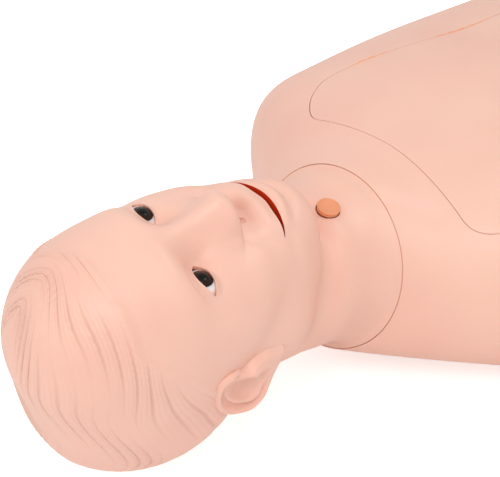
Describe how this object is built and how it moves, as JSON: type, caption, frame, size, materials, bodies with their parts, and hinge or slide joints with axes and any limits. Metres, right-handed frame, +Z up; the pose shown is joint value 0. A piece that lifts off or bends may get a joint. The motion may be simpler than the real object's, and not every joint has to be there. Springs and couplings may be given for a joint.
{
  "type": "intubation training manikin",
  "caption": "Half-body airway trainer lying on its back: head with open mouth on a turning, tilting neck, hinged jaw, plugged throat hole, and an armless torso with a lift-off chest cover",
  "frame": {"origin": "middle of the bounding box on the table under the back", "axes": "Z up, Y from the crown of the head to the waist, X to the manikin's right"},
  "size_m": [0.452, 0.7938, 0.2395],
  "materials": {
    "soft_skin_vinyl": "soft satin vinyl",
    "moulded_plastic": "satin",
    "eye_enamel": "polished",
    "mouth_red_rubber": "satin",
    "tooth_ivory": "semi-gloss",
    "airway_rubber": "satin",
    "plug_orange_rubber": "satin",
    "bag_rubber": "matt",
    "zinc_plated_steel": "bright zinc",
    "washer_plastic": "smooth"
  },
  "bodies": {
    "torso": {"torso_shell": "soft_skin_vinyl", "waist_plate": "moulded_plastic", "organ_tray": "moulded_plastic", "lung_right": "bag_rubber", "lung_left": "bag_rubber", "bronchi": "airway_rubber", "oesophagus": "airway_rubber", "stomach": "bag_rubber", "waist_screw_1": "zinc_plated_steel", "waist_screw_2": "zinc_plated_steel", "waist_screw_3": "zinc_plated_steel", "waist_screw_4": "zinc_plated_steel", "waist_screw_5": "zinc_plated_steel", "waist_screw_6": "zinc_plated_steel"},
    "neck": {"larynx": "airway_rubber", "trachea": "airway_rubber", "stoma_plug": "plug_orange_rubber", "gullet_upper": "airway_rubber", "neck_disc": "moulded_plastic", "friction_washer": "washer_plastic", "neck_retainer": "zinc_plated_steel", "neck_yoke": "moulded_plastic", "tilt_pin": "zinc_plated_steel", "retainer_screw_1": "zinc_plated_steel", "retainer_screw_2": "zinc_plated_steel", "retainer_screw_3": "zinc_plated_steel", "retainer_screw_4": "zinc_plated_steel"},
    "head": {"head_skin": "soft_skin_vinyl", "skull_rear": "moulded_plastic", "skull_face": "moulded_plastic", "skull_base": "moulded_plastic", "eye_cup_right": "moulded_plastic", "eye_cup_left": "moulded_plastic", "eye_right": "eye_enamel", "eye_left": "eye_enamel", "palate": "mouth_red_rubber", "upper_teeth": "tooth_ivory", "tongue": "mouth_red_rubber", "pharynx": "airway_rubber"},
    "jaw": {"mandible": "moulded_plastic", "lower_teeth": "tooth_ivory", "jaw_pin_right": "zinc_plated_steel", "jaw_pin_left": "zinc_plated_steel"},
    "cover": {"chest_cover": "soft_skin_vinyl"}
  },
  "joints": [
    {"name": "head_turn", "type": "hinge", "parent": "torso", "child": "neck", "pos_m": [0, -0.1031, 0.112], "axis": [0, 0.9608, -0.2773], "range_deg": [-60, 40], "deforming": ["oesophagus"]},
    {"name": "head_tilt", "type": "hinge", "parent": "neck", "child": "head", "pos_m": [-0.01012, -0.20902, 0.09904], "axis": [0.972, -0.0652, -0.2259], "range_deg": [-5, 20], "deforming": ["head_skin", "pharynx"]},
    {"name": "jaw_open", "type": "hinge", "parent": "head", "child": "jaw", "pos_m": [-0.00099, -0.24747, 0.14942], "axis": [-0.972, 0.0652, 0.2259], "range_deg": [-4, 14], "deforming": ["head_skin"]},
    {"name": "cover_lift", "type": "slide", "parent": "torso", "child": "cover", "axis": [0, 0, 1], "range_m": [0, 0.15]}
  ]
}
